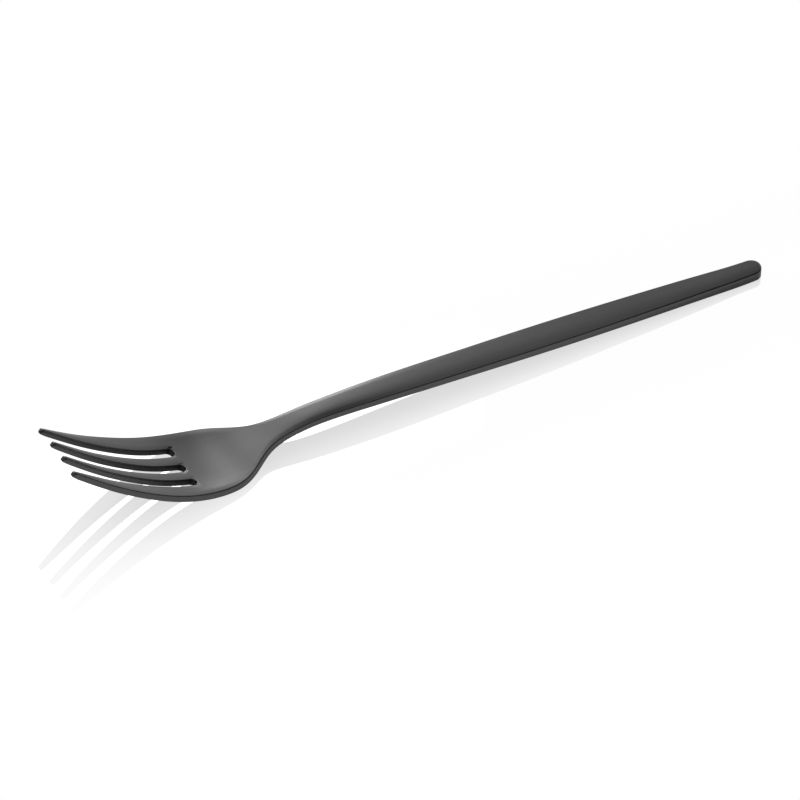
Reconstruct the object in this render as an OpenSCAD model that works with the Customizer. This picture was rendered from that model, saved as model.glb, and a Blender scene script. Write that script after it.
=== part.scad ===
// Dinner fork with four slim tines, bent and ground from one piece of steel with a dark coat.
// Lengths are in millimetres. X runs from the tips to the end of the handle, Y runs across,
// and Z is up. The fork rests on the belly of its head and on the end of its handle, so the
// neck between them stands clear of the table. The origin is under the middle of its box.
// A station is a distance from the tips, measured along X on the underside.

/* [Length] */
// Length from the tips to the end of the handle
fork_l = 210.4; // [190:1:240]
// Depth of the slots, from the tips to their round ends
tine_l = 37.4; // [30:0.1:42]
// Station of the widest place of the head
head_x = 37; // [32:0.5:42]
// Station of the belly, where the head rests
belly_x = 48; // [44:0.5:54]
// Station of the narrowest place of the neck
neck_x = 74; // [68:0.5:82]
// Station of the highest place of the arch under the neck
arch_x = 82; // [76:0.5:95]
// Length of the flat under the end of the handle
foot_l = 7; // [5:0.5:12]

/* [Width] */
// Width across the four tips
tips_w = 18.7; // [16:0.1:24]
// Width of the head at its widest place
head_w = 25.8; // [22:0.1:30]
// Width of the neck at its narrowest place
neck_w = 6.9; // [5:0.1:9]
// Width of the handle at its widest place, halfway along
grip_w = 8.7; // [7:0.1:14]
// Width of the handle where it ends
end_w = 5.6; // [5:0.1:12]
// How square the end of the handle is: 2 is a half circle
end_power = 2; // [2:0.1:4]

/* [Tines] */
// Width of each tine at its tip
tip_w = 1; // [0.85:0.05:1.6]
// How far the two inner tips stand back from the outer tips
tip_back = 0.3; // [0:0.1:2]
// Width of the two inner tines at their roots
inner_tine_w = 3.6; // [2.6:0.1:4.2]
// Width of the slots at their round ends
slot_w = 2.7; // [2.2:0.1:3.4]
// How far each side of a slot bows into it, halfway along
slot_bow = 0.2; // [0:0.05:0.4]

/* [Side view] */
// Height of the tips above the table
tip_rise = 24; // [16:0.5:30]
// Height of the arch under the neck
neck_rise = 4.9; // [2:0.1:10]
// Thickness of the metal at the tips
tip_t = 1.85; // [1.4:0.05:2.2]
// Thickness of the metal in the head and the neck
neck_t = 2.15; // [1.8:0.05:3.2]
// Thickness of the metal at the end of the handle
end_t = 2.7; // [1.8:0.05:4]

/* [Surface] */
// Depth of the hollow across the head
hollow_d = 1.25; // [0:0.05:2]
// How far the inner tips stand above the outer tips
tip_bow = 0.6; // [0:0.05:1]
// How far the top of the neck and the handle is domed across its width
crown_h = 0.45; // [0:0.05:0.8]
// How far the top of the head and the tines falls towards their edges
roll_d = 0.25; // [0:0.05:0.4]
// Width of that soft fall along each edge
roll_w = 1.6; // [1:0.1:2.5]
// Radius that rounds every edge
rim_r = 0.35; // [0.2:0.05:0.4]
// Radius that rounds the top of the handle at its end
end_r = 0.6; // [0.35:0.05:1.1]
// Length of the rounding on top of each tip
tip_r = 0.5; // [0.35:0.05:1.5]
// How much is ground away under each tip
tip_cut = 0.3; // [0:0.05:0.8]
// Length of the ground place under each tip
tip_l = 2.2; // [1:0.1:5]
// How deep the belly and the foot are ground flat
foot_cut = 0.1; // [0.05:0.01:0.2]

/* [Hidden] */
coat_color = [0.2, 0.2, 0.21];

// Counts of the mesh: cells across a tine and a slot, and steps of an edge's rounding
tine_cells = 2;
slot_cells = 4;
rim_steps = 2;
// Rows along the tines, the head, the handle and the foot
tine_rows = 13;
head_rows = 17;
handle_rows = 19;
foot_rows = 2;

// Each pair is a share of a stretch's length and a share of its change in size.
// Half width: from the tips to the widest place, the shoulders, and both halves of the handle
spread_shares = [[0, 0], [0.38, 0.58], [0.76, 0.94]];
shoulder_shares = [[0, 0], [0.19, 0.045], [0.325, 0.15], [0.46, 0.405], [0.62, 0.8], [0.785, 0.965]];
swell_shares = [[0, 0], [0.235, 0.41], [0.68, 0.875]];
taper_shares = [[0, 0], [0.56, 0.385], [1, 1]];
// Height of the underside: the curl of the tines, the rise to the neck, and the fall to the foot
curl_shares = [[0, 0], [0.21, 0.35], [0.42, 0.64], [0.625, 0.855], [0.83, 0.975]];
rise_shares = [[0, 0], [0.18, 0.15], [0.35, 0.485], [0.56, 0.81], [0.765, 0.965]];
fall_shares = [[0, 0], [0.15, 0.09], [0.31, 0.255], [0.56, 0.52], [0.81, 0.78], [0.93, 0.92], [1, 1]];
// Depth of the hollow between the tips and the neck, in shares of the hollow's full depth
hollow_shares = [[0.27, 0.74], [0.54, 1], [0.7, 0.555], [0.92, 0], [1, 0]];

grip_x = (neck_x + fork_l) / 2;
foot_x = fork_l - foot_l;
end_x = fork_l - end_w / 2;
root_x = tine_l - slot_w / 2;

function mix(a, b, share) = a + (b - a) * share;
function ease(share) = let(s = min(1, max(0, share))) s * s * (3 - 2 * s);
function stretch(shares, x0, x1, v0, v1) = [for (p = shares) [mix(x0, x1, p[0]), mix(v0, v1, p[1])]];

// A smooth curve through places, each a station and a value.
// Its bends are the second derivatives at the places, zero at both ends.
function sweep(p, i) = i == 0 ? [[0, 0]] : let(
    done = sweep(p, i - 1),
    last = done[i - 1],
    h0 = p[i][0] - p[i - 1][0],
    h1 = p[i + 1][0] - p[i][0],
    turn = 6 * ((p[i + 1][1] - p[i][1]) / h1 - (p[i][1] - p[i - 1][1]) / h0),
    pivot = 2 * (h0 + h1) - h0 * last[0])
    concat(done, [[h1 / pivot, (turn - h0 * last[1]) / pivot]]);
function back(s, i) = i == len(s) ? [0] : let(after = back(s, i + 1))
    concat([s[i][1] - s[i][0] * after[0]], after);
function curve(p) = [p, back(sweep(p, len(p) - 2), 0)];
function span(p, x) = max([0, for (k = [1:len(p) - 2]) if (x >= p[k][0]) k]);
function value(cv, x) = let(
    p = cv[0],
    k = span(p, x),
    h = p[k + 1][0] - p[k][0],
    a = (p[k + 1][0] - x) / h,
    b = (x - p[k][0]) / h)
    a * p[k][1] + b * p[k + 1][1]
    + ((a * a * a - a) * cv[1][k] + (b * b * b - b) * cv[1][k + 1]) * h * h / 6;
function slope(cv, x) = let(
    p = cv[0],
    k = span(p, x),
    h = p[k + 1][0] - p[k][0],
    a = (p[k + 1][0] - x) / h,
    b = (x - p[k][0]) / h)
    (p[k + 1][1] - p[k][1]) / h
    + ((1 - 3 * a * a) * cv[1][k] + (3 * b * b - 1) * cv[1][k + 1]) * h / 6;

plan_curve = curve(concat(
    stretch(spread_shares, 0, head_x, tips_w / 2, head_w / 2),
    stretch(shoulder_shares, head_x, neck_x, head_w / 2, neck_w / 2),
    stretch(swell_shares, neck_x, grip_x, neck_w / 2, grip_w / 2),
    stretch(taper_shares, grip_x, fork_l, grip_w / 2, end_w / 2)));
side_curve = curve(concat(
    stretch(curl_shares, 0, belly_x, tip_rise, -foot_cut),
    stretch(rise_shares, belly_x, arch_x, -foot_cut, neck_rise),
    stretch(fall_shares, arch_x, foot_x, neck_rise, -foot_cut),
    [[fork_l, -foot_cut]]));
metal_curve = curve([[0, tip_t], [belly_x, neck_t], [arch_x, neck_t], [fork_l, end_t]]);
hollow_curve = curve(concat([[0, -tip_bow]], stretch(hollow_shares, 0, neck_x, 0, hollow_d)));

function half_w(s) = value(plan_curve, s);
function hollow(s) = s < neck_x ? value(hollow_curve, s) : 0;
function handle_share(s) = ease((s - neck_x) / (arch_x - belly_x));

// A point of the fork: p is its station and its place across, h its height square to the
// underside, which slopes by g along the fork and by d across it
function body_point(p, h) = let(
    g = slope(side_curve, p[0]),
    across = p[1] / half_w(p[0]),
    d = 2 * hollow(p[0]) * across / half_w(p[0]),
    q = sqrt(1 + g * g + d * d),
    z = value(side_curve, p[0]) + hollow(p[0]) * across * across + h / q)
    [p[0] - h * g / q, p[1] - h * d / q, max(0, z)];

// Rows run from the tips to the handle's round end, and columns run from one side to the other
row_x = concat(
    [for (i = [0:tine_rows]) root_x * i / tine_rows],
    [for (i = [0:head_rows - 1]) mix(tine_l + slot_w / 2, neck_x, i / head_rows)],
    [for (i = [0:handle_rows - 1]) mix(neck_x, foot_x, i / handle_rows)],
    [for (i = [0:foot_rows - 1]) mix(foot_x, end_x, i / foot_rows)],
    [end_x]);
last_row = len(row_x) - 1;
period = tine_cells + slot_cells;
cells = 4 * tine_cells + 3 * slot_cells;

// Half the gap of a slot, and the step from one slot's middle to the next
tip_gap = (tips_w - 4 * tip_w) / 3;
function gap(s) = let(t = s / root_x) mix(tip_gap, slot_w, t) / 2 - slot_bow * 4 * t * (1 - t);
function pitch(s) = mix(tip_gap + tip_w, slot_w + inner_tine_w, s / root_x);
function set_back(k, s) = k == 1 || k == 2 ? tip_back * (1 - s / root_x) : 0;
function low_side(k, s) = k == 0 ? -half_w(s) : (k - 2) * pitch(s) + gap(s);
function high_side(k, s) = k == 3 ? half_w(s) : (k - 1) * pitch(s) - gap(s);

// Plan of a column on the rows of the tines, where a slot's columns keep to its round end
function tine_plan(s, c) = let(
    k = floor(c / period),
    j = c - k * period,
    turn = -90 + 180 * (j - tine_cells) / slot_cells)
    j <= tine_cells
    ? [s + set_back(k, s), mix(low_side(k, s), high_side(k, s), j / tine_cells)]
    : [root_x + gap(root_x) * cos(turn), (k - 1) * pitch(root_x) + gap(root_x) * sin(turn)];
function power_round(v) = sign(v) * pow(abs(v), 2 / end_power);
function end_plan(c) = let(turn = -90 + 180 * c / cells)
    [end_x + end_w / 2 * power_round(cos(turn)), half_w(end_x) * power_round(sin(turn))];
across_shares = [for (c = [0:cells]) tine_plan(root_x, c)[1] / half_w(root_x)];
function plan(i, c) = i <= tine_rows ? tine_plan(row_x[i], c)
    : i == last_row ? end_plan(c)
    : [row_x[i], across_shares[c] * half_w(row_x[i])];

// The outline, once round: near side, handle end, far side, then each tip and slot in turn
function id(i, c) = i * (cells + 1) + c;
outline = concat(
    [for (i = [0:last_row]) [i, 0]],
    [for (c = [1:cells]) [last_row, c]],
    [for (i = [last_row - 1:-1:0]) [i, cells]],
    [for (k = [3:-1:0]) each concat(
        [for (c = [k * period + tine_cells - 1:-1:max(1, k * period)]) [0, c]],
        k == 0 ? [] : concat(
            [for (i = [1:tine_rows]) [i, k * period]],
            [for (c = [k * period - 1:-1:(k - 1) * period + tine_cells]) [tine_rows, c]],
            [for (i = [tine_rows - 1:-1:0]) [i, (k - 1) * period + tine_cells]]))]);
count = len(outline);
outline_plan = [for (v = outline) plan(v[0], v[1])];
outline_ids = [for (v = outline) id(v[0], v[1])];
function unit(v) = v / norm(v);
function outward(a, b) = let(e = unit(b - a)) [e[1], -e[0]];

// A corner's own normal, long enough to stand square off both of its sides
normals = [for (n = [0:count - 1]) let(
    here = outline_plan[n],
    n0 = outward(outline_plan[(n + count - 1) % count], here),
    n1 = outward(here, outline_plan[(n + 1) % count]))
    (n0 + n1) / (1 + n0 * n1)];
function top_r(n) = mix(rim_r, end_r, ease((outline_plan[n][0] - grip_x) / (fork_l - grip_x)));
function top_l(n) = outline[n][0] == 0 ? tip_r : top_r(n);
function top_in(n) = let(v = normals[n]) outline_plan[n] - [top_l(n) * v[0], top_r(n) * v[1]];
function low_in(n) = outline_plan[n] - rim_r * normals[n];

// Height of the top: domed from the neck on, and falling softly to the long sides of the head
// and the tines, but not to the tips and the round ends of the slots
function to_side(p, a, b) = let(v = b - a, t = min(1, max(0, (p - a) * v / (v * v)))) norm(p - a - t * v);
sides = [for (n = [0:count - 2]) if (outline[n][0] != outline[n + 1][0]) n];
function edge_gap(p) = min([for (n = sides) to_side(p, outline_plan[n], outline_plan[n + 1])]);
function roll(p) = handle_share(p[0]) == 1 ? 0
    : roll_d * pow(max(0, 1 - edge_gap(p) / roll_w), 2) * (1 - handle_share(p[0]));
function crown_share(s) = ease((s - belly_x) / (arch_x - belly_x));
function crown(p) = crown_h * crown_share(p[0]) * (1 - pow(p[1] / half_w(p[0]), 2));
function top_h(p) = value(metal_curve, p[0]) + crown(p) - roll(p);
function low_h(p) = tip_cut * pow(max(0, 1 - p[0] / tip_l), 2);

// The two faces, drawn in from the outline by the rounding
ranks = [for (i = [0:last_row]) for (c = [0:cells]) search(id(i, c), outline_ids)];
top_plan = [for (i = [0:last_row]) for (c = [0:cells]) let(n = ranks[id(i, c)])
    len(n) == 0 ? plan(i, c) : top_in(n[0])];
low_plan = [for (i = [0:last_row]) for (c = [0:cells]) let(n = ranks[id(i, c)])
    len(n) == 0 ? plan(i, c) : low_in(n[0])];

// The rim between them: a quarter round, a straight side and another quarter round
top_rim = [for (k = [1:rim_steps]) for (n = [0:count - 1]) let(turn = 90 * k / rim_steps)
    body_point(mix(top_in(n), outline_plan[n], sin(turn)), top_h(top_in(n)) - top_r(n) * (1 - cos(turn)))];
low_rim = [for (k = [rim_steps:-1:1]) for (n = [0:count - 1]) let(turn = 90 * k / rim_steps)
    body_point(mix(low_in(n), outline_plan[n], sin(turn)), low_h(low_in(n)) + rim_r * (1 - cos(turn)))];
points = concat(
    [for (p = top_plan) body_point(p, top_h(p))],
    [for (p = low_plan) body_point(p, low_h(p))],
    top_rim,
    low_rim);
points_x = [for (p = points) p[0]];
middle_x = (min(points_x) + max(points_x)) / 2;

low_start = len(top_plan);
rim_start = 2 * low_start;
function is_metal(i, c) = i >= tine_rows || c % period < tine_cells;
function ring(k, n) = k == 0 ? outline_ids[n % count]
    : k == 2 * rim_steps + 1 ? low_start + outline_ids[n % count]
    : rim_start + (k - 1) * count + n % count;
function two(a, b, c, d) = [[a, b, c], [a, c, d]];
face_cells = [for (i = [0:last_row - 1]) for (c = [0:cells - 1]) if (is_metal(i, c))
    [id(i, c), id(i, c + 1), id(i + 1, c + 1), id(i + 1, c)]];
faces = concat(
    [for (f = face_cells) each two(f[0], f[1], f[2], f[3])],
    [for (f = face_cells) each two(low_start + f[3], low_start + f[2], low_start + f[1], low_start + f[0])],
    [for (k = [0:2 * rim_steps]) for (n = [0:count - 1])
        each two(ring(k, n), ring(k, n + 1), ring(k + 1, n + 1), ring(k + 1, n))]);

module fork() {
    color(coat_color)
        translate([-middle_x, 0, 0])
            polyhedron(points = points, faces = faces, convexity = 8);
}

fork();
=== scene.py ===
import math

import bpy
import numpy as np
from bpy.props import FloatProperty, FloatVectorProperty, IntProperty, PointerProperty
from mathutils import Matrix, Vector


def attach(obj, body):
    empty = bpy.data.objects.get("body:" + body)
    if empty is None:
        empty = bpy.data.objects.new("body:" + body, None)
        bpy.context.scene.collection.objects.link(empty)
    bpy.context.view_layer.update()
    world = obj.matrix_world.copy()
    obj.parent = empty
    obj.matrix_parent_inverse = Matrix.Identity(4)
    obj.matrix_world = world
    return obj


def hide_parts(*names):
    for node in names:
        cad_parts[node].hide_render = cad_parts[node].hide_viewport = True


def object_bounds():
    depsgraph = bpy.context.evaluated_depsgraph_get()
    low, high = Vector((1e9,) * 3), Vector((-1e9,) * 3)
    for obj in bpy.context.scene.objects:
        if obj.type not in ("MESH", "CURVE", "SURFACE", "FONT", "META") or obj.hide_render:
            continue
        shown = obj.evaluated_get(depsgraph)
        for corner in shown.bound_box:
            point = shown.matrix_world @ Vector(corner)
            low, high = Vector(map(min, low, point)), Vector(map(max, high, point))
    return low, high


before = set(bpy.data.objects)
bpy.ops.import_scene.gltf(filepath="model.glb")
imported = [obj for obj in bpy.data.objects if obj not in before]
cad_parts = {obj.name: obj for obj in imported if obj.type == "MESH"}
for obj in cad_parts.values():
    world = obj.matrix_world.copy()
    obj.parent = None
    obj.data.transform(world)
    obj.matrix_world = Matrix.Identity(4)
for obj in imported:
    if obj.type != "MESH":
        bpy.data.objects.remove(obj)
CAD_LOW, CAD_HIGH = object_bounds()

bl_info = {
    "name": "Dinner fork",
    "version": (1, 0, 0),
    "blender": (4, 5, 0),
    "location": "3D View > Sidebar > Fork",
    "description": "Makes a slim dinner fork with a dark satin coat, and a white stage for it",
    "category": "Object",
}

TINES = 4
SLOTS = TINES - 1
TIP_CLEAR = 1.8  # Station of the row next to the tips, in lengths of the tips' rounding
GRAIN_DETAIL = 3
SOFT_DETAIL = 2  # Detail of the bands' and the clouds' noise
FLECK_DETAIL = 4
MID_NOISE = 0.5  # The middle of a noise's values
FAR_CLIP = 50  # How far the camera sees, in metres
# What the blank tells the press at each point, and the finished fork no longer needs
PRESS_FACTS = (
    "side_height", "side_slope", "across", "half_width", "hollow_share", "bow_share", "dome_share")

# Each pair is a share of a stretch's length and a share of its change in size.
# Half width: from the tips to the widest place, the shoulders, and both halves of the handle
SPREAD_SHARES = ((0, 0), (0.38, 0.58), (0.76, 0.94))
SHOULDER_SHARES = ((0, 0), (0.19, 0.045), (0.325, 0.15), (0.46, 0.405), (0.62, 0.8), (0.785, 0.965))
SWELL_SHARES = ((0, 0), (0.235, 0.41), (0.68, 0.875))
TAPER_SHARES = ((0, 0), (0.56, 0.385), (1, 1))
# Height of the underside: the curl of the tines, the rise to the neck, and the fall to the foot
CURL_SHARES = ((0, 0), (0.21, 0.35), (0.42, 0.64), (0.625, 0.855), (0.83, 0.975))
RISE_SHARES = ((0, 0), (0.18, 0.15), (0.35, 0.485), (0.56, 0.81), (0.765, 0.965))
FALL_SHARES = ((0, 0), (0.15, 0.09), (0.31, 0.255), (0.56, 0.52), (0.81, 0.78), (0.93, 0.92), (1, 1))
# Depth of the hollow between the tips and the neck, in shares of the hollow's full depth
HOLLOW_SHARES = ((0.27, 0.74), (0.54, 1), (0.7, 0.555), (0.92, 0), (1, 0))


def length(name, description, default):
    """A size in metres that a user can change."""
    return FloatProperty(name=name, description=description, default=default, unit="LENGTH", precision=5)


def share(name, description, default):
    """A plain number that a user can change."""
    return FloatProperty(name=name, description=description, default=default, precision=4)


def count(name, description, default):
    """A count of rows, columns or steps in the mesh."""
    return IntProperty(name=name, description=description, default=default, min=2)


def angle(name, description, degrees):
    """An angle that a user can change."""
    return FloatProperty(name=name, description=description, default=math.radians(degrees), subtype="ANGLE")


def place(name, description, default):
    """A place in metres that a user can change."""
    return FloatVectorProperty(
        name=name, description=description, default=default, subtype="TRANSLATION", unit="LENGTH")


def colour(name, description, default):
    """A colour that a user can change."""
    return FloatVectorProperty(
        name=name, description=description, default=default, subtype="COLOR", min=0, max=1)


def watts(name, description, default):
    """A lamp's power in watts that a user can change."""
    return FloatProperty(name=name, description=description, default=default, unit="POWER", precision=4)


def lens(name, description, default):
    """A focal length in millimetres that a user can change."""
    return FloatProperty(name=name, description=description, default=default, unit="CAMERA")


class ForkSizes(bpy.types.PropertyGroup):
    """Sizes of the fork. A station is a distance from the tips, along the underside."""

    fork_l: length("Length", "From the tips to the end of the handle", 0.2104)
    tine_l: length("Slot depth", "From the tips to the round ends of the slots", 0.0374)
    head_x: length("Head station", "Station of the widest place of the head", 0.037)
    belly_x: length("Belly station", "Station of the belly, where the head rests", 0.048)
    neck_x: length("Neck station", "Station of the narrowest place of the neck", 0.074)
    arch_x: length("Arch station", "Station of the highest place of the arch", 0.082)
    foot_l: length("Foot length", "Length of the flat under the handle's end", 0.007)
    tips_w: length("Tips width", "Width across the four tips", 0.0187)
    head_w: length("Head width", "Width of the head at its widest place", 0.0258)
    neck_w: length("Neck width", "Width of the neck at its narrowest place", 0.0069)
    grip_w: length("Handle width", "Width of the handle halfway along", 0.0087)
    end_w: length("End width", "Width of the handle where it ends", 0.0056)
    end_power: share("End power", "How square the handle's end is: 2 is a half circle", 2)
    tip_w: length("Tip width", "Width of each tine at its tip", 0.001)
    tip_back: length("Tip set-back", "How far the two inner tips stand back from the outer tips", 0.0003)
    inner_tine_w: length("Inner tine width", "Width of the two inner tines at their roots", 0.0036)
    slot_w: length("Slot width", "Width of the slots at their round ends", 0.0027)
    slot_bow: length("Slot bow", "How far each side of a slot bows into it", 0.0002)
    tip_rise: length("Tip height", "Height of the tips above the table", 0.024)
    neck_rise: length("Arch height", "Height of the arch under the neck", 0.0049)
    tip_t: length("Tip thickness", "Thickness of the metal at the tips", 0.00185)
    neck_t: length("Neck thickness", "Thickness of the metal in the head and the neck", 0.00215)
    end_t: length("End thickness", "Thickness of the metal at the handle's end", 0.0027)
    hollow_d: length("Hollow depth", "Depth of the hollow across the head", 0.00125)
    tip_bow: length("Tip bow", "How far the inner tips stand above the outer tips", 0.0006)
    crown_h: length("Crown height", "How far the top of the handle is domed", 0.00045)
    roll_d: length("Roll depth", "How far the top of the head falls towards its edges", 0.00025)
    roll_w: length("Roll width", "Width of that soft fall along each edge", 0.0016)
    rim_r: length("Edge radius", "Radius that rounds every edge", 0.00035)
    end_r: length("End radius", "Radius that rounds the top of the handle at its end", 0.0006)
    tip_r: length("Tip rounding", "Length of the rounding on top of each tip", 0.0005)
    tip_cut: length("Tip cut", "How much is ground away under each tip", 0.0003)
    tip_l: length("Tip cut length", "Length of the ground place under each tip", 0.0022)
    foot_cut: length("Ground depth", "How deep the belly and the foot are ground flat", 0.0001)
    tine_cells: count("Cells across a tine", "Columns of faces across each tine", 6)
    slot_cells: count("Cells across a slot", "Columns of faces round the end of each slot", 16)
    rim_steps: count("Rim steps", "Steps in the rounding of an edge", 6)
    tine_rows: count("Tine rows", "Rows of faces along the tines", 48)
    web_rows: count("Web rows", "Rows of faces just behind the slots", 3)
    head_rows: count("Head rows", "Rows of faces along the head", 44)
    handle_rows: count("Handle rows", "Rows of faces along the handle", 90)
    foot_rows: count("Foot rows", "Rows of faces along the foot", 6)
    end_rows: count("End rows", "Rows of faces in the handle's round end", 5)


class CoatFinish(bpy.types.PropertyGroup):
    """The dark satin coat, the fine brushing under it, and the shade painted into the slots' round ends."""

    coat_color: colour("Coat", "Colour of the coat", (0.082, 0.082, 0.084))
    worn_color: colour("Worn coat", "Colour of the coat where an edge has rubbed", (0.16, 0.158, 0.155))
    roughness: share("Roughness", "Roughness of the coat", 0.32)
    grain_l: length("Grain length", "Length of the brushing's fine scratches", 0.009)
    grain_w: length("Grain width", "Width of the brushing's fine scratches", 0.00016)
    band_l: length("Band length", "Length of the soft bands left by the belt", 0.045)
    band_w: length("Band width", "Width of the soft bands left by the belt", 0.0011)
    cloud_w: length("Cloud size", "Size of the faint clouds in the coat", 0.016)
    fleck_w: length("Fleck size", "Size of the rubbed flecks along the edges", 0.0012)
    grain_depth: length("Grain depth", "Depth of the scratches", 0.000004)
    grain_tint: share("Grain tint", "How much a scratch changes the colour", 0.16)
    band_tint: share("Band tint", "How much a band changes the colour", 0.10)
    cloud_tint: share("Cloud tint", "How much a cloud changes the colour", 0.08)
    grain_rough: share("Grain roughness", "How much a scratch changes the roughness", 0.10)
    cloud_rough: share("Cloud roughness", "How much a cloud changes the roughness", 0.04)
    # Painted shade: the coat is darkened in the slots' round ends, where little light reaches
    slot_painted_shade: share(
        "Slot shade", "How much darker the coat is in the slots' round ends, where no belt reaches", 0.6)
    wear: share("Wear", "How far the coat has rubbed along the edges", 0.25)
    wear_from: share("Wear start", "Noise above which an edge has rubbed", 0.42)
    wear_sharp: share("Wear sharpness", "How sharply a rubbed fleck ends", 6)
    wear_smooth: share("Wear smoothness", "How much smoother the coat is where it has rubbed", 0.08)


class StageSizes(bpy.types.PropertyGroup):
    """The camera, the floor, the light of the room and the lamps."""

    camera_turn: angle("Camera turn", "How far the camera stands round towards the tips", -31.11)
    camera_rise: angle("Camera rise", "How high the camera stands above the horizon", 42.56)
    camera_roll: angle("Camera roll", "How far the camera leans", 2.59)
    camera_away: length("Camera distance", "Distance of the camera from the fork", 2.0)
    aim_x: length("Aim along", "Where the camera aims, along the fork", -0.000352)
    aim_right: length("Aim right", "How far the frame is moved to the right", -0.003367)
    aim_up: length("Aim up", "How far the frame is moved up", -0.001402)
    focal: lens("Focal length", "Focal length on a 36 mm sensor", 346.66)
    floor_half: length("Floor half width", "From the middle of the floor to its sides", 4.0)
    floor_drop: length("Floor drop", "How far the floor lies under the fork's rest faces", 0.00003)
    floor_color: colour("Floor", "Colour of the floor where lamps light it", (0.9, 0.9, 0.9))
    shadow: share("Shadow", "How much of the fork's shadow the floor shows near the fork", 0.03)
    shadow_w: length("Shadow reach", "How far from the fork the floor shows its shadow", 0.04)
    metal_white: share(
        "White in the metal", "How white the metal sees the floor, apart from the lamps' light", 0.8)
    # Painted shadow under the fork, seen only in the metal's reflection of the floor
    shade: share("Shade in the metal", "How much darker the metal sees the floor right under the fork", 1.0)
    shade_w: length("Shade reach", "How far the shade under the fork reaches past its sides", 0.0035)
    shade_tips: length("Shade past the tips", "How far the shade under the fork reaches past its tips", 0.03)
    mirror: share("Mirror", "How strongly the floor mirrors the fork, close to it", 0.31)
    mirror_w: length("Mirror width", "How far from the fork's middle the mirror fades", 0.0098)
    mirror_taper: share("Mirror taper", "How much the mirror narrows towards the handle's end", 0.035)
    mirror_head_w: length("Mirror head width", "How much wider the mirror is under the tines", 0.0055)
    mirror_faint: share(
        "Mirror faintness", "How much fainter the mirror is past the tips than behind the slots", 0.55)
    room: share("Room", "How bright the room is all round", 0.1)
    window: share("Window", "How bright the room's window is", 1.25)
    window_turn: angle("Window turn", "How far the window lies round from the far side to the handle", 55)
    window_rise: angle("Window rise", "How high the window lies", 22)
    window_focus: share("Window focus", "How small the window is: more is smaller", 9)
    skylight: share("Skylight", "How bright the room's skylight is", 2.1)
    skylight_turn: angle(
        "Skylight turn", "How far the skylight lies round from the far side to the handle", -60)
    skylight_rise: angle("Skylight rise", "How high the skylight lies", 60)
    skylight_focus: share("Skylight focus", "How small the skylight is: more is smaller", 8)
    low_place: place("Low box place", "Where the low soft box stands", (0.06, 0.36, 0.1))
    low_w: length("Low box width", "Width of the low soft box", 0.2)
    low_h: length("Low box height", "Height of the low soft box", 0.15)
    low_power: watts("Low box power", "Power of the low soft box", 0.45)
    tall_place: place("Tall box place", "Where the tall soft box stands", (0.06, 0.36, 0.335))
    tall_w: length("Tall box width", "Width of the tall soft box", 0.2)
    tall_h: length("Tall box height", "Height of the tall soft box", 0.32)
    tall_power: watts("Tall box power", "Power of the tall soft box", 0.3)
    arch_place: place("Arch box place", "Where the small soft box over the handle stands", (0.16, 0.36, 0.39))
    arch_w: length("Arch box width", "Width of the soft box over the handle", 0.15)
    arch_h: length("Arch box height", "Height of the soft box over the handle", 0.15)
    arch_power: watts("Arch box power", "Power of the soft box over the handle", 0.085)
    head_place: place("Head box place", "Where the soft box over the head stands", (-0.15, 0.36, 0.42))
    head_w: length("Head box width", "Width of the soft box over the head", 0.2)
    head_h: length("Head box height", "Height of the soft box over the head", 0.15)
    head_power: watts("Head box power", "Power of the soft box over the head", 0.23)


class Wire:
    """One output in a node tree. Plain arithmetic on it adds Math nodes."""

    def __init__(self, nodes, socket):
        self.nodes = nodes
        self.socket = socket

    def math(self, operation, *values):
        return self.nodes.add("ShaderNodeMath", {"operation": operation}, dict(enumerate(values)))

    def __add__(self, other):
        return self.math("ADD", self, other)

    def __sub__(self, other):
        return self.math("SUBTRACT", self, other)

    def __rsub__(self, other):
        return self.math("SUBTRACT", other, self)

    def __mul__(self, other):
        return self.math("MULTIPLY", self, other)

    def __truediv__(self, other):
        return self.math("DIVIDE", self, other)

    def __rtruediv__(self, other):
        return self.math("DIVIDE", other, self)

    def __rpow__(self, other):
        return self.math("POWER", other, self)

    def __pow__(self, other):
        return self.math("POWER", self, other)

    def at_least(self, other):
        return self.math("MAXIMUM", self, other)

    def at_most(self, other):
        return self.math("MINIMUM", self, other)

    __radd__ = __add__
    __rmul__ = __mul__


class Nodes:
    """A node tree, and the one method that adds nodes to it."""

    def __init__(self, tree):
        self.tree = tree
        tree.nodes.clear()

    def add(self, kind, settings=None, values=None, output=0):
        """Adds a node: its settings first, then the values or links of its sockets."""
        made = self.tree.nodes.new(kind)
        for name, value in (settings or {}).items():
            setattr(made, name, value)
        for name, value in (values or {}).items():
            socket = self.find(made.inputs, name)
            if isinstance(value, Wire):
                self.tree.links.new(value.socket, socket)
            else:
                socket.default_value = value
        if not len(made.outputs):
            return made
        return Wire(self, self.find(made.outputs, output))

    @staticmethod
    def find(sockets, name):
        """A socket by its place, its identifier or its name."""
        if isinstance(name, int):
            return sockets[name]
        for socket in sockets:
            if socket.identifier == name:
                return socket
        return sockets[name]


def mix(a, b, part):
    """The value that lies a share of the way from a to b."""
    return a + (b - a) * part


def ease(part):
    """A share that starts and stops gently."""
    part = np.clip(part, 0, 1)
    return part * part * (3 - 2 * part)


def bulge(part):
    """A share that is 0 at both ends of a stretch and 1 halfway."""
    return 4 * part * (1 - part)


def stretch(shares, x0, x1, v0, v1):
    """Shares of a stretch, made into stations and values."""
    return [(mix(x0, x1, x), mix(v0, v1, v)) for x, v in shares]


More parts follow.
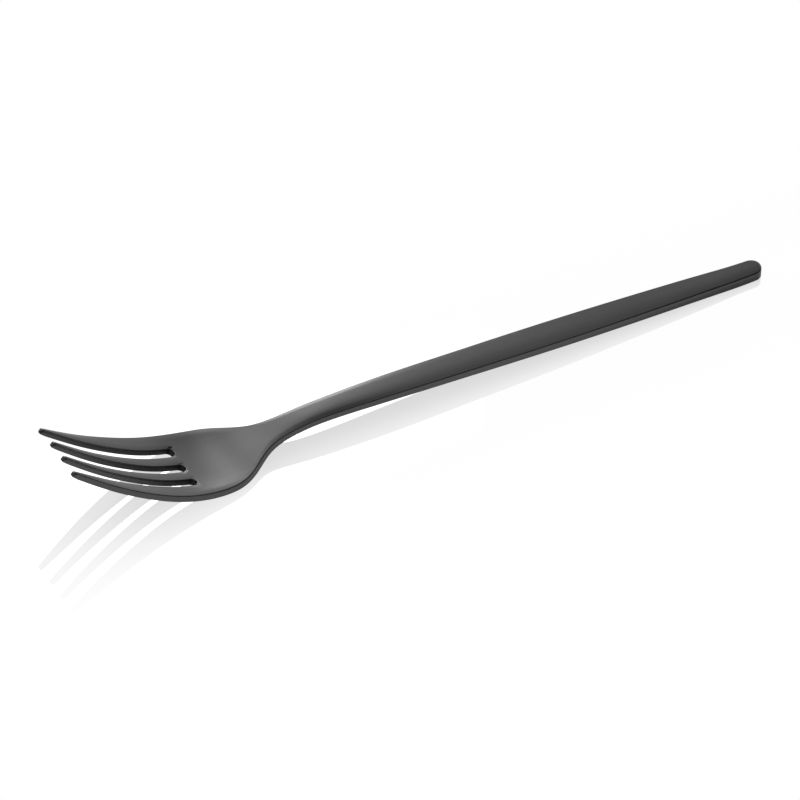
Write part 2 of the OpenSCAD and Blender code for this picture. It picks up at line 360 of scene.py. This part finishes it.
class SmoothCurve:
    """A smooth curve through places, each a station and a value, straight at both ends."""

    def __init__(self, places):
        self.x, self.v = np.array(places, float).T
        step = np.diff(self.x)
        rise = np.diff(self.v) / step
        size = len(self.x)
        pull = np.eye(size)
        turn = np.zeros(size)
        for i in range(1, size - 1):
            pull[i, i - 1:i + 2] = step[i - 1], 2 * (step[i - 1] + step[i]), step[i]
            turn[i] = 6 * (rise[i] - rise[i - 1])
        self.bend = np.linalg.solve(pull, turn)

    def parts(self, station):
        k = np.clip(np.searchsorted(self.x, station, side="right") - 1, 0, len(self.x) - 2)
        h = self.x[k + 1] - self.x[k]
        return k, h, (self.x[k + 1] - station) / h, (station - self.x[k]) / h

    def value(self, station):
        k, h, a, b = self.parts(station)
        bent = (a ** 3 - a) * self.bend[k] + (b ** 3 - b) * self.bend[k + 1]
        return a * self.v[k] + b * self.v[k + 1] + bent * h * h / 6

    def slope(self, station):
        k, h, a, b = self.parts(station)
        bent = (1 - 3 * a * a) * self.bend[k] + (3 * b * b - 1) * self.bend[k + 1]
        return (self.v[k + 1] - self.v[k]) / h + bent * h / 6


class ForkBlank:
    """The flat blank that the fork is pressed from, with its edges already rounded."""

    def __init__(self, s):
        self.s = s
        self.grip_x = (s.neck_x + s.fork_l) / 2
        self.foot_x = s.fork_l - s.foot_l
        self.end_x = s.fork_l - s.end_w / 2
        self.root_x = s.tine_l - s.slot_w / 2
        self.tip_gap = (s.tips_w - TINES * s.tip_w) / SLOTS
        self.curves()
        self.rows()
        self.outline()
        self.build()

    def curves(self):
        """The curves that give the blank its width, its thickness and its height."""
        s = self.s
        self.width = SmoothCurve(
            stretch(SPREAD_SHARES, 0, s.head_x, s.tips_w / 2, s.head_w / 2)
            + stretch(SHOULDER_SHARES, s.head_x, s.neck_x, s.head_w / 2, s.neck_w / 2)
            + stretch(SWELL_SHARES, s.neck_x, self.grip_x, s.neck_w / 2, s.grip_w / 2)
            + stretch(TAPER_SHARES, self.grip_x, s.fork_l, s.grip_w / 2, s.end_w / 2))
        self.side = SmoothCurve(
            stretch(CURL_SHARES, 0, s.belly_x, s.tip_rise, -s.foot_cut)
            + stretch(RISE_SHARES, s.belly_x, s.arch_x, -s.foot_cut, s.neck_rise)
            + stretch(FALL_SHARES, s.arch_x, self.foot_x, s.neck_rise, -s.foot_cut)
            + [(s.fork_l, -s.foot_cut)])
        self.metal = SmoothCurve(
            [(0, s.tip_t), (s.belly_x, s.neck_t), (s.arch_x, s.neck_t), (s.fork_l, s.end_t)])
        self.hollow = SmoothCurve([(0, 0)] + stretch(HOLLOW_SHARES, 0, s.neck_x, 0, 1))
        self.bow = SmoothCurve([(0, -1)] + stretch(HOLLOW_SHARES, 0, s.neck_x, 0, 0))

    def rows(self):
        """Stations of the rows, from the tips to the handle's round end."""
        s = self.s
        # The second row lies past the rounding of the tips, so that no face folds over
        tines = np.concatenate([[0], np.linspace(TIP_CLEAR * s.tip_r, self.root_x, s.tine_rows)])
        web = np.linspace(self.root_x, s.tine_l + s.slot_w / 2, s.web_rows, endpoint=False)[1:]
        head = np.linspace(s.tine_l + s.slot_w / 2, s.neck_x, s.head_rows, endpoint=False)
        handle = np.linspace(s.neck_x, self.foot_x, s.handle_rows, endpoint=False)
        foot = np.linspace(self.foot_x, self.end_x - s.rim_r, s.foot_rows)
        end = np.linspace(self.end_x - s.rim_r, self.end_x, s.end_rows)[1:]
        self.station = np.concatenate([tines, web, head, handle, foot, end])
        self.root_row = len(tines) - 1
        self.head_row = self.root_row + len(web) + 1
        self.last_row = len(self.station) - 1
        self.straight_row = self.last_row - len(end)
        self.period = s.tine_cells + s.slot_cells
        self.cells = TINES * s.tine_cells + SLOTS * s.slot_cells
        self.columns = self.cells + 1

    def gap(self, station):
        """Half the gap of a slot."""
        part = station / self.root_x
        return mix(self.tip_gap, self.s.slot_w, part) / 2 - self.s.slot_bow * bulge(part)

    def pitch(self, station):
        """The step from one slot's middle to the next."""
        s = self.s
        return mix(self.tip_gap + s.tip_w, s.slot_w + s.inner_tine_w, station / self.root_x)

    def middle(self, k, station):
        """The middle of a slot, numbered from the near side."""
        return (k - SLOTS // 2) * self.pitch(station)

    def tine_point(self, row, c):
        """Plan of a column along the tines, where a slot's columns keep to its round end."""
        s = self.s
        station = self.station[row]
        k, j = divmod(c, self.period)
        if j <= s.tine_cells:
            side, gap = self.width.value(station), self.gap(station)
            low = self.middle(k - 1, station) + gap if k > 0 else -side
            high = self.middle(k, station) - gap if k < SLOTS else side
            if row == 0 and 0 < j < s.tine_cells:
                low, high = low + s.rim_r, high - s.rim_r
            back = s.tip_back * (1 - station / self.root_x) if 0 < k < SLOTS else 0
            return station + back, mix(low, high, j / s.tine_cells)
        turn = math.radians(-90 + 180 * (j - s.tine_cells) / s.slot_cells)
        radius = self.gap(self.root_x)
        middle = self.middle(k, self.root_x)
        return self.root_x + radius * math.cos(turn), middle + radius * math.sin(turn)

    def end_point(self, c):
        """Plan of a column on the handle's round end."""
        turn = math.radians(-90 + 180 * c / self.cells)
        power = 2 / self.s.end_power
        out = max(0, math.cos(turn)) ** power
        over = math.copysign(abs(math.sin(turn)) ** power, math.sin(turn))
        return self.end_x + self.s.end_w / 2 * out, self.width.value(self.end_x) * over

    def edge_point(self, row, c):
        """Plan of a point of the outline."""
        if row <= self.root_row:
            return self.tine_point(row, c)
        if row == self.last_row:
            return self.end_point(c)
        return self.station[row], self.width.value(self.station[row]) * (-1 if c == 0 else 1)

    def outline(self):
        """The outline, once round: near side, handle end, far side, then each tip and slot in turn."""
        cells, period, tine = self.cells, self.period, self.s.tine_cells
        walk = [(row, 0) for row in range(self.last_row + 1)]
        walk += [(self.last_row, c) for c in range(1, cells + 1)]
        walk += [(row, cells) for row in range(self.last_row - 1, -1, -1)]
        for k in reversed(range(TINES)):
            walk += [(0, c) for c in range(k * period + tine - 1, max(1, k * period) - 1, -1)]
            if k > 0:
                walk += [(row, k * period) for row in range(1, self.root_row + 1)]
                walk += [(self.root_row, c) for c in range(k * period - 1, (k - 1) * period + tine - 1, -1)]
                walk += [(row, (k - 1) * period + tine) for row in range(self.root_row - 1, -1, -1)]
        self.walk = walk
        self.edge = np.array([self.edge_point(row, c) for row, c in walk])
        # Points on the slots' round ends, where the coat gets its painted shade
        self.slot_end = np.array([row == self.root_row and c % period > tine for row, c in walk])
        along = self.edge - np.roll(self.edge, 1, axis=0)
        along /= np.linalg.norm(along, axis=1)[:, None]
        before = np.stack([along[:, 1], -along[:, 0]], axis=1)
        after = np.roll(before, -1, axis=0)
        # A corner's own normal, long enough to stand square off both of its sides
        self.normal = (before + after) / (1 + (before * after).sum(axis=1))[:, None]

    def face(self, inner):
        """A face's grid of places in plan, inside an inner outline."""
        at = dict(zip(self.walk, inner))
        grid = np.zeros((self.last_row + 1, self.columns, 2))
        across = self.across()
        for row in range(self.last_row + 1):
            if row <= self.root_row:
                self.tine_row(grid, at, row)
            elif row == self.last_row:
                grid[row] = [at[row, c] for c in range(self.columns)]
            else:
                grid[row] = mix(at[row, 0], at[row, self.cells], across[:, None])
        self.blend(grid, self.root_row, self.head_row)
        self.blend(grid, self.straight_row, self.last_row)
        return grid

    def across(self):
        """The columns' shares of the width behind the slots, evenly spread behind each slot."""
        y = np.array([self.tine_point(self.root_row, c)[1] for c in range(self.columns)])
        for k in range(SLOTS):
            low, high = k * self.period + self.s.tine_cells, (k + 1) * self.period
            y[low:high + 1] = np.linspace(y[low], y[high], self.s.slot_cells + 1)
        return (y - y[0]) / (y[-1] - y[0])

    def tine_row(self, grid, at, row):
        """Fills a row of the tines. Where a slot is open, its columns aren't used."""
        tine = self.s.tine_cells
        for c in range(self.columns):
            k, j = divmod(c, self.period)
            if (row, c) in at:
                grid[row, c] = at[row, c]
            elif j < tine:
                grid[row, c] = mix(at[row, k * self.period], at[row, k * self.period + tine], j / tine)

    @staticmethod
    def blend(grid, first, last):
        """Leads the columns evenly from one row to another, with the sides left as they are."""
        for row in range(first + 1, last):
            part = (row - first) / (last - first)
            grid[row, 1:-1] = mix(grid[first, 1:-1], grid[last, 1:-1], part)

    def build(self):
        """All the points of the blank, and the facts that the press needs at each."""
        s = self.s
        tip = np.array([row == 0 for row, c in self.walk])
        top_r = mix(s.rim_r, s.end_r, ease((self.edge[:, 0] - self.grip_x) / (s.fork_l - self.grip_x)))
        top_l = np.where(tip, s.tip_r, top_r)
        top_in = self.edge - self.normal * np.stack([top_l, top_r], axis=1)
        low_in = self.edge - s.rim_r * self.normal
        top, low = self.face(top_in).reshape(-1, 2), self.face(low_in).reshape(-1, 2)
        plain = np.zeros(len(top))
        rings = [
            (top, self.top_height(top), self.dome(top), plain, plain),
            (low, self.low_height(low), plain, plain, plain)]
        turns = [math.radians(90 * k / s.rim_steps) for k in range(1, s.rim_steps + 1)]
        for turn in turns:
            height = self.top_height(top_in) - top_r * (1 - math.cos(turn))
            rings.append(self.ring(top_in, turn, height, self.dome(top_in)))
        for turn in reversed(turns):
            height = self.low_height(low_in) + s.rim_r * (1 - math.cos(turn))
            rings.append(self.ring(low_in, turn, height, np.zeros(len(low_in))))
        plan = np.concatenate([ring[0] for ring in rings])
        height = np.concatenate([ring[1] for ring in rings])
        self.points = np.column_stack([plan, height])
        station = plan[:, 0]
        self.facts = {
            "side_height": self.side.value(station),
            "side_slope": self.side.slope(station),
            "across": plan[:, 1] / self.width.value(station),
            "half_width": self.width.value(station),
            "hollow_share": np.where(station < s.neck_x, self.hollow.value(station), 0),
            "bow_share": np.where(station < s.neck_x, self.bow.value(station), 0),
            "dome_share": np.concatenate([ring[2] for ring in rings]),
            "edge": np.concatenate([ring[3] for ring in rings]),
            "slot_end": np.concatenate([ring[4] for ring in rings]),
        }
        self.faces = self.grid_faces(len(top)) + self.rim_faces(len(top))

    def ring(self, inner, turn, height, dome):
        """A ring of the rim: its plan, height, dome, rubbed edge, and depth in a slot's round end, where the
        coat gets its painted shade.
        """
        out = math.sin(turn)
        rubbed = np.full(len(inner), math.sin(2 * turn))
        return mix(inner, self.edge, out), height, dome, rubbed, self.slot_end * out ** 2

    def handle_share(self, plan):
        """0 on the head and 1 on the handle, with a soft change along the neck."""
        s = self.s
        return ease((plan[:, 0] - s.neck_x) / (s.arch_x - s.belly_x))

    def dome(self, plan):
        """The share of the dome on the top, which starts on the shoulders."""
        s = self.s
        part = ease((plan[:, 0] - s.belly_x) / (s.arch_x - s.belly_x))
        return part * (1 - (plan[:, 1] / self.width.value(plan[:, 0])) ** 2)

    def top_height(self, plan):
        """Thickness of the metal, less the soft fall towards the edges of the head and the tines."""
        s = self.s
        fall = s.roll_d * np.clip(1 - self.edge_gap(plan) / s.roll_w, 0, 1) ** 2
        return self.metal.value(plan[:, 0]) - fall * (1 - self.handle_share(plan))

    def low_height(self, plan):
        """Height of the underside, where it is ground away at the tips."""
        return self.s.tip_cut * np.clip(1 - plan[:, 0] / self.s.tip_l, 0, None) ** 2

    def edge_gap(self, plan):
        """Distance in plan from each place to the long sides, without the tips and the slots' round ends."""
        gap = np.full(len(plan), np.inf)
        rows = [row for row, c in self.walk]
        for n, start in enumerate(self.edge[:-1]):
            if rows[n] != rows[n + 1]:
                step = self.edge[n + 1] - start
                part = np.clip((plan - start) @ step / (step @ step), 0, 1)
                gap = np.minimum(gap, np.linalg.norm(plan - start - part[:, None] * step, axis=1))
        return gap

    def grid_faces(self, low_start):
        """The faces of the top and of the underside."""
        made = []
        for row in range(self.last_row):
            for c in range(self.cells):
                if row < self.root_row and c % self.period >= self.s.tine_cells:
                    continue
                a = row * self.columns + c
                b = a + self.columns
                made.append((a, a + 1, b + 1, b))
                made.append((low_start + b, low_start + b + 1, low_start + a + 1, low_start + a))
        return made

    def rim_faces(self, low_start):
        """The faces of the rounded rim, between the top and the underside."""
        total = len(self.walk)
        ids = np.array([row * self.columns + c for row, c in self.walk])
        rings = [ids]
        rings += [2 * low_start + k * total + np.arange(total) for k in range(2 * self.s.rim_steps)]
        rings.append(low_start + ids)
        made = []
        for upper, lower in zip(rings, rings[1:]):
            quads = np.stack([upper, np.roll(upper, -1), np.roll(lower, -1), lower], axis=1)
            made += [tuple(quad) for quad in quads.tolist()]
        return made

    def mesh(self):
        """The blank as a mesh, with the facts as attributes."""
        mesh = bpy.data.meshes.new("blank")
        used = np.unique(np.concatenate([np.ravel(face) for face in self.faces]))
        place = np.zeros(len(self.points), int)
        place[used] = np.arange(len(used))
        faces = [tuple(int(place[v]) for v in face) for face in self.faces]
        mesh.from_pydata(self.points[used].tolist(), [], faces)
        for name, values in self.facts.items():
            fact = mesh.attributes.new(name, "FLOAT", "POINT")
            fact.data.foreach_set("value", values[used].astype(np.float32))
        flat = mesh.attributes.new("flat_place", "FLOAT_VECTOR", "POINT")
        flat.data.foreach_set("vector", self.points[used].astype(np.float32).ravel())
        mesh.update()
        return mesh


def press_tree(s):
    """The tree that presses a flat blank to the fork's curves, with its sizes as named inputs."""
    tree = bpy.data.node_groups.new("Press the fork", "GeometryNodeTree")
    tree.interface.new_socket("Geometry", in_out="INPUT", socket_type="NodeSocketGeometry")
    for name, value in s.items():
        kind = "NodeSocketMaterial" if name == "Coat" else "NodeSocketFloat"
        tree.interface.new_socket(name, in_out="INPUT", socket_type=kind)
    tree.interface.new_socket("Geometry", in_out="OUTPUT", socket_type="NodeSocketGeometry")
    nodes = Nodes(tree)
    given = nodes.add("NodeGroupInput", output="Geometry")

    def size(name):
        return Wire(nodes, given.socket.node.outputs[name])

    def fact(name):
        return nodes.add(
            "GeometryNodeInputNamedAttribute", {"data_type": "FLOAT"}, {"Name": name}, "Attribute")

    flat = nodes.add("GeometryNodeInputPosition")
    parts = nodes.add("ShaderNodeSeparateXYZ", values={"Vector": flat}).socket.node.outputs
    station, over, height = (Wire(nodes, parts[axis]) for axis in "XYZ")
    slope = fact("side_slope")
    across = fact("across")
    dish = size("Hollow depth") * fact("hollow_share") + size("Tip bow") * fact("bow_share")
    lean = dish * across * 2 / fact("half_width")
    square = (1 + slope * slope + lean * lean) ** 0.5
    raised = height + size("Crown height") * fact("dome_share")
    along = station - raised * slope / square - size("Middle")
    aside = over - raised * lean / square
    up = (fact("side_height") + dish * across * across + raised / square).at_least(0)
    moved = nodes.add("ShaderNodeCombineXYZ", values={"X": along, "Y": aside, "Z": up})
    pressed = nodes.add("GeometryNodeSetPosition", values={"Geometry": given, "Position": moved})
    smooth = nodes.add("GeometryNodeSetShadeSmooth", values={"Geometry": pressed})
    real = nodes.add("GeometryNodeRealizeInstances", values={"Geometry": smooth})
    coated = nodes.add("GeometryNodeSetMaterial", values={"Geometry": real, "Material": size("Coat")})
    nodes.add("NodeGroupOutput", values={"Geometry": coated})
    return tree


def coat_material(c):
    """The dark satin coat: fine scratches along the fork, soft bands, faint clouds, rubbed edges, and painted
    shade in the slots' round ends.
    """
    material = bpy.data.materials.new("satin_coat")
    material.use_nodes = True
    nodes = Nodes(material.node_tree)
    flat = nodes.add("ShaderNodeAttribute", {"attribute_name": "flat_place"}, output="Vector")

    def noise(along, across, detail):
        size = (1 / along, 1 / across, 1 / across)
        scaled = nodes.add("ShaderNodeVectorMath", {"operation": "MULTIPLY"}, {0: flat, 1: size})
        return nodes.add(
            "ShaderNodeTexNoise", {"noise_dimensions": "3D"},
            {"Vector": scaled, "Scale": 1.0, "Detail": detail}, "Fac")

    grain = noise(c.grain_l, c.grain_w, GRAIN_DETAIL)
    band = noise(c.band_l, c.band_w, SOFT_DETAIL)
    cloud = noise(c.cloud_w, c.cloud_w, SOFT_DETAIL)
    fleck = noise(c.fleck_w, c.fleck_w, FLECK_DETAIL)
    edge = nodes.add("ShaderNodeAttribute", {"attribute_name": "edge"}, output="Fac")
    # Depth in a slot's round end: masks the painted shade there, and keeps the wear out of it
    slot_end = nodes.add("ShaderNodeAttribute", {"attribute_name": "slot_end"}, output="Fac")
    flecks = ((fleck - c.wear_from) * c.wear_sharp).at_least(0).at_most(1)
    rubbed = flecks * edge * (1 - slot_end) * c.wear
    scratch, stripe, mist = grain - MID_NOISE, band - MID_NOISE, cloud - MID_NOISE
    streaks = 1 + scratch * c.grain_tint + stripe * c.band_tint + mist * c.cloud_tint
    # Painted shade darkens the coat in the slots' round ends
    shade = streaks * (1 - slot_end * c.slot_painted_shade)
    coat = nodes.add(
        "ShaderNodeVectorMath", {"operation": "SCALE"}, {0: tuple(c.coat_color), "Scale": shade})
    tint = nodes.add(
        "ShaderNodeMix", {"data_type": "RGBA"},
        {"Factor_Float": rubbed, "A_Color": coat, "B_Color": (*c.worn_color, 1)}, "Result_Color")
    rough = c.roughness + scratch * c.grain_rough + mist * c.cloud_rough - rubbed * c.wear_smooth
    bump = nodes.add("ShaderNodeBump", values={"Strength": 1.0, "Distance": c.grain_depth, "Height": grain})
    surface = nodes.add(
        "ShaderNodeBsdfPrincipled",
        values={"Base Color": tint, "Metallic": 1.0, "Roughness": rough, "Normal": bump})
    nodes.add("ShaderNodeOutputMaterial", values={"Surface": surface})
    return material


class FORK_OT_fork(bpy.types.Operator):
    """Makes the fork: a flat blank, pressed to its curves and given its dark coat"""

    bl_idname = "fork.fork"
    bl_label = "Make the fork"

    def execute(self, context):
        s = context.scene.fork_sizes
        blank = ForkBlank(s)
        coat = coat_material(context.scene.fork_coat)
        piece = bpy.data.objects.new("dinner_fork", blank.mesh())
        context.scene.collection.objects.link(piece)
        inputs = {
            "Hollow depth": s.hollow_d, "Tip bow": s.tip_bow, "Crown height": s.crown_h,
            "Middle": s.fork_l / 2, "Coat": coat}
        self.press(piece, inputs)
        self.settle(piece.data)
        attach(piece, "root")
        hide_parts("fork")
        return {"FINISHED"}

    @staticmethod
    def press(piece, inputs):
        """Runs the press on the blank, and keeps what comes out as a plain mesh."""
        modifier = piece.modifiers.new("press", "NODES")
        tree = press_tree(inputs)
        modifier.node_group = tree
        for item in tree.interface.items_tree:
            if item.in_out == "INPUT" and item.name in inputs:
                modifier[item.identifier] = inputs[item.name]
        graph = bpy.context.evaluated_depsgraph_get()
        pressed = bpy.data.meshes.new_from_object(piece.evaluated_get(graph), depsgraph=graph)
        piece.modifiers.clear()
        piece.data = pressed
        pressed.name = "dinner_fork"

    @staticmethod
    def settle(mesh):
        """Centres the fork over the origin, and keeps it inside the box of the solid."""
        points = np.zeros(len(mesh.vertices) * 3, np.float32)
        mesh.vertices.foreach_get("co", points)
        points = points.reshape(-1, 3)
        points[:, 0] -= (points[:, 0].min() + points[:, 0].max()) / 2
        points = np.clip(points, np.array(CAD_LOW), np.array(CAD_HIGH))
        mesh.vertices.foreach_set("co", points.astype(np.float32).ravel())
        for name in PRESS_FACTS:
            mesh.attributes.remove(mesh.attributes[name])
        mesh.update()


class FORK_OT_stage(bpy.types.Operator):
    """Makes the white floor, the soft light and the camera"""

    bl_idname = "fork.stage"
    bl_label = "Make the stage"

    def execute(self, context):
        t = context.scene.fork_stage
        self.camera(context, t)
        self.floor(context, t, context.scene.fork_sizes)
        self.sky(context, t)
        self.lamps(context, t)
        context.scene.view_settings.view_transform = "Standard"
        return {"FINISHED"}

    @staticmethod
    def camera(context, t):
        """The camera stands at the photograph's angle, and leans a little."""
        turn, rise, roll = t.camera_turn, t.camera_rise, t.camera_roll
        right = Vector((math.cos(turn), math.sin(turn), 0))
        back = Vector((math.sin(turn) * math.cos(rise), -math.cos(turn) * math.cos(rise), math.sin(rise)))
        up = back.cross(right)
        right, up = (
            math.cos(roll) * right + math.sin(roll) * up,
            -math.sin(roll) * right + math.cos(roll) * up)
        data = bpy.data.cameras.new("camera")
        data.lens = t.focal
        data.clip_end = FAR_CLIP
        camera = bpy.data.objects.new("camera", data)
        context.scene.collection.objects.link(camera)
        stand = Vector((t.aim_x, 0, 0)) + t.aim_right * right + t.aim_up * up + t.camera_away * back
        camera.matrix_world = Matrix.Translation(stand) @ Matrix((right, up, back)).transposed().to_4x4()
        context.scene.camera = camera

    @staticmethod
    def floor(context, t, s):
        """A white floor that mirrors the fork faintly, less and less away from it, with a painted shadow
        right under the fork in the white that the metal sees.
        """
        half, level = t.floor_half, -t.floor_drop
        mesh = bpy.data.meshes.new("floor")
        corners = [(-half, -half, level), (half, -half, level), (half, half, level), (-half, half, level)]
        mesh.from_pydata(corners, [], [(0, 1, 2, 3)])
        floor = bpy.data.objects.new("floor", mesh)
        context.scene.collection.objects.link(floor)
        material = bpy.data.materials.new("white_floor")
        material.use_nodes = True
        nodes = Nodes(material.node_tree)
        path = nodes.add("ShaderNodeLightPath").socket.node.outputs
        camera, glossy, through = (
            Wire(nodes, path[name]) for name in ("Is Camera Ray", "Is Glossy Ray", "Is Transmission Ray"))
        spot = nodes.add("ShaderNodeTexCoord", output="Object")
        parts = nodes.add("ShaderNodeSeparateXYZ", values={"Vector": spot}).socket.node.outputs
        x, y = Wire(nodes, parts["X"]), Wire(nodes, parts["Y"])

        def fade(value, start, end):
            return nodes.add(
                "ShaderNodeMapRange", {"interpolation_type": "SMOOTHSTEP"},
                {"Value": value, "From Min": start, "From Max": end, "To Min": 1.0, "To Max": 0.0}, "Result")

        # The mirror is widest under the tines, and ends just past their tips
        tip, root, neck = -s.fork_l / 2, s.tine_l - s.fork_l / 2, s.neck_x - s.fork_l / 2
        width = t.mirror_w - x * t.mirror_taper + fade(x, tip + s.tine_l / 2, neck) * t.mirror_head_w
        faint = 1 - fade(x, tip - s.tip_rise / 2, root) * t.mirror_faint
        away = y / width
        mirrored = t.mirror * faint * math.e ** (0 - away * away)
        aside = y.math("ABSOLUTE", y)
        near = fade(aside, t.shadow_w / 2, t.shadow_w)
        # A painted shadow: the white that the metal sees of the floor is taken away right under the fork
        side = s.grip_w / 2 + fade(x, tip + s.head_x, neck) * (s.head_w - s.grip_w) / 2
        behind_tips = 1 - fade(x, tip - t.shade_tips, tip - t.shade_tips / 2)
        painted_shadow = fade(aside - side, 0.0, t.shade_w) * behind_tips
        in_picture = camera * (1 - near * t.shadow)
        in_metal = glossy * (1 - painted_shadow * t.shade) * t.metal_white
        glow = (in_picture + in_metal + through).at_most(1)
        plain = nodes.add("ShaderNodeBsdfDiffuse", values={"Color": (*t.floor_color, 1)}, output="BSDF")
        white = nodes.add("ShaderNodeEmission", values={"Color": (1, 1, 1, 1), "Strength": 1.0})
        lit = nodes.add("ShaderNodeMixShader", values={0: glow, 1: plain, 2: white})
        mirror = nodes.add("ShaderNodeBsdfGlossy", values={"Color": (1, 1, 1, 1), "Roughness": 0.0})
        surface = nodes.add("ShaderNodeMixShader", values={0: mirrored, 1: lit, 2: mirror})
        nodes.add("ShaderNodeOutputMaterial", values={"Surface": surface})
        mesh.materials.append(material)

    @staticmethod
    def sky(context, t):
        """A dim room with a soft window past the handle's end and a soft skylight past the tips."""
        world = bpy.data.worlds.new("dim_room")
        world.use_nodes = True
        context.scene.world = world
        nodes = Nodes(world.node_tree)
        toward = nodes.add("ShaderNodeTexCoord", output="Generated")

        def opening(turn, rise, focus):
            way = (math.sin(turn) * math.cos(rise), math.cos(turn) * math.cos(rise), math.sin(rise))
            facing = nodes.add(
                "ShaderNodeVectorMath", {"operation": "DOT_PRODUCT"}, {0: toward, 1: way}, "Value")
            return math.e ** ((facing - 1) * focus)

        window = opening(t.window_turn, t.window_rise, t.window_focus)
        skylight = opening(t.skylight_turn, t.skylight_rise, t.skylight_focus)
        light = t.room + window * t.window + skylight * t.skylight
        # The backdrop, and what the floor mirrors of it, is as white as the floor itself
        path = nodes.add("ShaderNodeLightPath").socket.node.outputs
        backdrop = Wire(nodes, path["Is Singular Ray"]).at_least(Wire(nodes, path["Is Camera Ray"]))
        strength = light * (1 - backdrop) + backdrop
        shine = nodes.add("ShaderNodeBackground", values={"Color": (1, 1, 1, 1), "Strength": strength})
        nodes.add("ShaderNodeOutputWorld", values={"Surface": shine})

    @staticmethod
    def lamps(context, t):
        """Four soft boxes on the far side: a low one, a tall one, one over the handle, one over the head."""
        boxes = (
            ("low_box", t.low_place, t.low_w, t.low_h, t.low_power),
            ("tall_box", t.tall_place, t.tall_w, t.tall_h, t.tall_power),
            ("arch_box", t.arch_place, t.arch_w, t.arch_h, t.arch_power),
            ("head_box", t.head_place, t.head_w, t.head_h, t.head_power))
        for name, spot, width, height, power in boxes:
            data = bpy.data.lights.new(name, "AREA")
            data.shape = "RECTANGLE"
            data.size, data.size_y = width, height
            data.energy = power
            lamp = bpy.data.objects.new(name, data)
            context.scene.collection.objects.link(lamp)
            lamp.location = spot
            lamp.rotation_euler = (-Vector(spot)).to_track_quat("-Z", "Y").to_euler()
            lamp.visible_camera = False


class FORK_PT_panel(bpy.types.Panel):
    """Lists the sizes, and makes the fork and its stage"""

    bl_label = "Dinner fork"
    bl_idname = "FORK_PT_panel"
    bl_space_type = "VIEW_3D"
    bl_region_type = "UI"
    bl_category = "Fork"

    def draw(self, context):
        groups = (("fork.fork", "fork_sizes"), ("fork.fork", "fork_coat"), ("fork.stage", "fork_stage"))
        for operator, group in groups:
            holder = getattr(context.scene, group)
            column = self.layout.column()
            for name in holder.__annotations__:
                column.prop(holder, name)
            column.operator(operator)


CLASSES = (ForkSizes, CoatFinish, StageSizes, FORK_OT_fork, FORK_OT_stage, FORK_PT_panel)


def register():
    for cls in CLASSES:
        bpy.utils.register_class(cls)
    bpy.types.Scene.fork_sizes = PointerProperty(type=ForkSizes)
    bpy.types.Scene.fork_coat = PointerProperty(type=CoatFinish)
    bpy.types.Scene.fork_stage = PointerProperty(type=StageSizes)


def unregister():
    del bpy.types.Scene.fork_stage
    del bpy.types.Scene.fork_coat
    del bpy.types.Scene.fork_sizes
    for cls in reversed(CLASSES):
        bpy.utils.unregister_class(cls)


def main():
    register()
    bpy.ops.fork.fork()
    bpy.ops.fork.stage()


if __name__ == "__main__":
    main()
